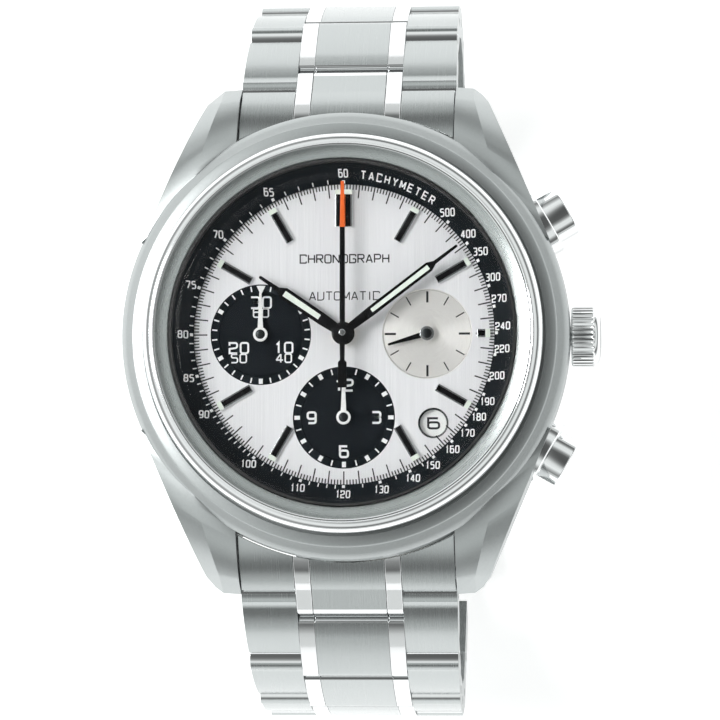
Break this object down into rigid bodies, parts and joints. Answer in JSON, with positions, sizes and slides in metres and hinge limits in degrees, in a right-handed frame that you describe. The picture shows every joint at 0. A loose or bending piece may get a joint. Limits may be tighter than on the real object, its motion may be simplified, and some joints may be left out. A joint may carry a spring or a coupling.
{
  "type": "chronograph wristwatch",
  "caption": "Steel chronograph wristwatch with push pieces, a winding knob, sub-dials, a see-through back and a link bracelet closed by a folding clasp.",
  "frame": {"origin": "centre of the flat outer face of the case back", "axes": "+Z out of the dial, +X towards 3 o'clock and the winding knob, +Y towards 12 o'clock"},
  "size_m": [0.044, 0.0702, 0.0621],
  "materials": {
    "body_steel": "satin and polished",
    "bracelet_steel": "brushed",
    "polished_steel": "polished",
    "crystal": "clear",
    "seal": "matte",
    "black_enamel": "satin",
    "dial_silver": "vertically brushed",
    "applied_marker": "polished",
    "date_white": "matte",
    "hand_black": "gloss",
    "hand_orange": "satin",
    "hand_white": "satin",
    "train_brass": "satin",
    "movement_steel": "ground",
    "holder": "matte",
    "plate_nickel": "nickel plated, striped"
  },
  "bodies": {
    "watch": {"case_body": "body_steel", "bezel": "body_steel", "crystal": "crystal", "gaskets": "seal", "tachymeter_ring": "black_enamel", "dial": "dial_silver", "hour_markers": "applied_marker", "case_back_ring": "body_steel", "case_back_glass": "crystal", "crown_tube": "movement_steel", "pusher_tubes": "polished_steel", "start_pusher_spring": "movement_steel", "reset_pusher_spring": "movement_steel", "movement_holder": "holder", "main_plate": "plate_nickel", "train_bridge": "plate_nickel", "balance_cock": "plate_nickel", "rotor_bearing": "movement_steel", "end_links": "bracelet_steel", "lug_spring_bars": "movement_steel"},
    "hour_hand": {"hour_hand": "hand_black"},
    "minute_hand": {"minute_hand": "hand_black"},
    "minute_wheel": {"minute_wheel": "train_brass"},
    "date_disc": {"date_disc": "date_white"},
    "chrono_seconds_hand": {"chrono_seconds_hand": "hand_orange"},
    "minute_counter_hand": {"minute_counter_hand": "hand_white"},
    "hour_counter_hand": {"hour_counter_hand": "hand_white"},
    "small_seconds": {"fourth_wheel": "train_brass", "small_seconds_hand": "hand_black"},
    "third_wheel": {"third_wheel": "train_brass"},
    "center_wheel": {"center_wheel": "train_brass"},
    "escape_wheel": {"escape_wheel": "movement_steel"},
    "mainspring_barrel": {"mainspring_barrel": "train_brass"},
    "balance": {"balance_wheel": "train_brass", "hairspring": "movement_steel"},
    "pallet_fork": {"pallet_fork": "movement_steel"},
    "rotor": {"winding_rotor": "plate_nickel"},
    "setting_lever": {"setting_lever": "movement_steel"},
    "winding_knob": {"crown": "polished_steel", "winding_stem": "movement_steel"},
    "start_pusher": {"start_pusher": "polished_steel"},
    "reset_pusher": {"reset_pusher": "polished_steel"},
    "link_12_1": {"link_12_1": "bracelet_steel"},
    "link_12_2": {"link_12_2": "bracelet_steel"},
    "link_12_3": {"link_12_3": "bracelet_steel"},
    "link_12_4": {"link_12_4": "bracelet_steel"},
    "link_12_5": {"link_12_5": "bracelet_steel"},
    "link_12_6": {"link_12_6": "bracelet_steel", "clasp_spring_bar": "movement_steel"},
    "link_6_1": {"link_6_1": "bracelet_steel"},
    "link_6_2": {"link_6_2": "bracelet_steel"},
    "link_6_3": {"link_6_3": "bracelet_steel"},
    "link_6_4": {"link_6_4": "bracelet_steel"},
    "link_6_5": {"link_6_5": "bracelet_steel"},
    "link_6_6": {"link_6_6": "bracelet_steel"},
    "clasp_inner_blade": {"clasp_inner_blade": "polished_steel"},
    "clasp_middle_blade": {"clasp_middle_blade": "polished_steel"},
    "clasp_cover": {"clasp_cover": "bracelet_steel"},
    "clasp_button_right": {"clasp_button_right": "bracelet_steel"},
    "clasp_button_left": {"clasp_button_left": "bracelet_steel"}
  },
  "joints": [
    {"name": "minute_hand_turn", "type": "hinge", "parent": "watch", "child": "minute_hand", "pos_m": [0, 0, 0.01], "axis": [0, 0, -1], "continuous": true},
    {"name": "hour_hand_turn", "type": "hinge", "parent": "watch", "child": "hour_hand", "pos_m": [0, 0, 0.01], "axis": [0, 0, -1], "continuous": true},
    {"name": "minute_wheel_turn", "type": "hinge", "parent": "watch", "child": "minute_wheel", "pos_m": [-0.00255, 0.00255, 0.0082], "axis": [0, 0, -1], "continuous": true},
    {"name": "date_disc_turn", "type": "hinge", "parent": "watch", "child": "date_disc", "pos_m": [0, 0, 0.0089], "axis": [0, 0, -1], "continuous": true},
    {"name": "chrono_seconds_turn", "type": "hinge", "parent": "watch", "child": "chrono_seconds_hand", "pos_m": [0, 0, 0.0114], "axis": [0, 0, -1], "continuous": true},
    {"name": "minute_counter_turn", "type": "hinge", "parent": "watch", "child": "minute_counter_hand", "pos_m": [-0.0076, 0, 0.00995], "axis": [0, 0, -1], "continuous": true},
    {"name": "hour_counter_turn", "type": "hinge", "parent": "watch", "child": "hour_counter_hand", "pos_m": [0, -0.0076, 0.00995], "axis": [0, 0, -1], "continuous": true},
    {"name": "small_seconds_turn", "type": "hinge", "parent": "watch", "child": "small_seconds", "pos_m": [0.0076, 0, 0.0055], "axis": [0, 0, -1], "continuous": true},
    {"name": "third_wheel_turn", "type": "hinge", "parent": "watch", "child": "third_wheel", "pos_m": [0.00409, 0.00115, 0.005], "axis": [0, 0, -1], "continuous": true},
    {"name": "center_wheel_turn", "type": "hinge", "parent": "watch", "child": "center_wheel", "pos_m": [0, 0, 0.005], "axis": [0, 0, -1], "continuous": true},
    {"name": "escape_wheel_turn", "type": "hinge", "parent": "watch", "child": "escape_wheel", "pos_m": [0.00895, -0.00234, 0.006], "axis": [0, 0, -1], "continuous": true},
    {"name": "barrel_turn", "type": "hinge", "parent": "watch", "child": "mainspring_barrel", "pos_m": [-0.00503, 0.00183, 0.0055], "axis": [0, 0, -1], "continuous": true},
    {"name": "balance_swing", "type": "hinge", "parent": "watch", "child": "balance", "pos_m": [0.00503, -0.00626, 0.005], "axis": [0, 0, 1], "range_deg": [-135, 135], "stiffness_Nm_per_rad": 0.0000004, "deforming": ["hairspring"]},
    {"name": "pallet_fork_swing", "type": "hinge", "parent": "watch", "child": "pallet_fork", "pos_m": [0.00722, -0.00407, 0.006], "axis": [0, 0, 1], "range_deg": [-4.1, 4.1]},
    {"name": "rotor_spin", "type": "hinge", "parent": "watch", "child": "rotor", "pos_m": [0, 0, 0.0028], "axis": [0, 0, 1], "continuous": true},
    {"name": "crown_pull", "type": "slide", "parent": "watch", "child": "setting_lever", "axis": [1, 0, 0], "range_m": [0, 0.0012]},
    {"name": "crown_turn", "type": "hinge", "parent": "setting_lever", "child": "winding_knob", "pos_m": [0.021, 0, 0.005], "axis": [1, 0, 0], "continuous": true},
    {"name": "start_pusher_press", "type": "slide", "parent": "watch", "child": "start_pusher", "axis": [-0.866, -0.5, 0], "range_m": [0, 0.001], "stiffness_N_per_m": 2000, "springref_m": -0.0006, "deforming": ["start_pusher_spring"]},
    {"name": "reset_pusher_press", "type": "slide", "parent": "watch", "child": "reset_pusher", "axis": [-0.866, 0.5, 0], "range_m": [0, 0.001], "stiffness_N_per_m": 2000, "springref_m": -0.0006, "deforming": ["reset_pusher_spring"]},
    {"name": "link_12_1_fold", "type": "hinge", "parent": "watch", "child": "link_12_1", "pos_m": [0, 0.02365, 0.0015], "axis": [1, 0, 0], "range_deg": [0, 16]},
    {"name": "link_12_2_fold", "type": "hinge", "parent": "link_12_1", "child": "link_12_2", "pos_m": [0, 0.02935, -0.0044], "axis": [1, 0, 0], "range_deg": [0, 30]},
    {"name": "link_12_3_fold", "type": "hinge", "parent": "link_12_2", "child": "link_12_3", "pos_m": [0, 0.03242, -0.012], "axis": [1, 0, 0], "range_deg": [0, 22]},
    {"name": "link_12_4_fold", "type": "hinge", "parent": "link_12_3", "child": "link_12_4", "pos_m": [0, 0.03356, -0.02012], "axis": [1, 0, 0], "range_deg": [0, 23]},
    {"name": "link_12_5_fold", "type": "hinge", "parent": "link_12_4", "child": "link_12_5", "pos_m": [0, 0.03284, -0.02829], "axis": [1, 0, 0], "range_deg": [0, 30]},
    {"name": "link_12_6_fold", "type": "hinge", "parent": "link_12_5", "child": "link_12_6", "pos_m": [0, 0.02938, -0.03572], "axis": [1, 0, 0], "range_deg": [0, 35]},
    {"name": "link_6_1_fold", "type": "hinge", "parent": "watch", "child": "link_6_1", "pos_m": [0, -0.02365, 0.0015], "axis": [-1, 0, 0], "range_deg": [0, 16]},
    {"name": "link_6_2_fold", "type": "hinge", "parent": "link_6_1", "child": "link_6_2", "pos_m": [0, -0.02935, -0.0044], "axis": [-1, 0, 0], "range_deg": [0, 30]},
    {"name": "link_6_3_fold", "type": "hinge", "parent": "link_6_2", "child": "link_6_3", "pos_m": [0, -0.03242, -0.012], "axis": [-1, 0, 0], "range_deg": [0, 22]},
    {"name": "link_6_4_fold", "type": "hinge", "parent": "link_6_3", "child": "link_6_4", "pos_m": [0, -0.03356, -0.02012], "axis": [-1, 0, 0], "range_deg": [0, 23]},
    {"name": "link_6_5_fold", "type": "hinge", "parent": "link_6_4", "child": "link_6_5", "pos_m": [0, -0.03284, -0.02829], "axis": [-1, 0, 0], "range_deg": [0, 30]},
    {"name": "link_6_6_fold", "type": "hinge", "parent": "link_6_5", "child": "link_6_6", "pos_m": [0, -0.02938, -0.03572], "axis": [-1, 0, 0], "range_deg": [0, 35]},
    {"name": "clasp_inner_fold", "type": "hinge", "parent": "link_6_6", "child": "clasp_inner_blade", "pos_m": [0, -0.02292, -0.04077], "axis": [-1, 0, 0], "range_deg": [0, 25]},
    {"name": "clasp_middle_fold", "type": "hinge", "parent": "clasp_inner_blade", "child": "clasp_middle_blade", "pos_m": [0, 0.01268, -0.04306], "axis": [1, 0, 0], "range_deg": [0, 165]},
    {"name": "clasp_cover_fold", "type": "hinge", "parent": "clasp_middle_blade", "child": "clasp_cover", "pos_m": [0, -0.01456, -0.04315], "axis": [1, 0, 0], "range_deg": [-165, 0]},
    {"name": "clasp_button_right_press", "type": "slide", "parent": "clasp_cover", "child": "clasp_button_right", "axis": [-1, 0, 0], "range_m": [0, 0.0006], "stiffness_N_per_m": 500, "springref_m": -0.0004},
    {"name": "clasp_button_left_press", "type": "slide", "parent": "clasp_cover", "child": "clasp_button_left", "axis": [1, 0, 0], "range_m": [0, 0.0006], "stiffness_N_per_m": 500, "springref_m": -0.0004}
  ],
  "couplings": [
    {"joint": "hour_hand_turn", "follows": "minute_hand_turn", "ratio": 0.083333},
    {"joint": "minute_wheel_turn", "follows": "minute_hand_turn", "ratio": -0.33333},
    {"joint": "date_disc_turn", "follows": "minute_hand_turn", "ratio": 0.0013441},
    {"joint": "minute_counter_turn", "follows": "chrono_seconds_turn", "ratio": 0.033333},
    {"joint": "hour_counter_turn", "follows": "chrono_seconds_turn", "ratio": 0.0013889},
    {"joint": "third_wheel_turn", "follows": "small_seconds_turn", "ratio": -0.125},
    {"joint": "center_wheel_turn", "follows": "small_seconds_turn", "ratio": 0.016667},
    {"joint": "escape_wheel_turn", "follows": "small_seconds_turn", "ratio": -8},
    {"joint": "barrel_turn", "follows": "small_seconds_turn", "ratio": -0.0027174},
    {"joint": "pallet_fork_swing", "follows": "balance_swing", "ratio": -0.03},
    {"joint": "clasp_cover_fold", "follows": "clasp_middle_fold", "ratio": -1}
  ]
}
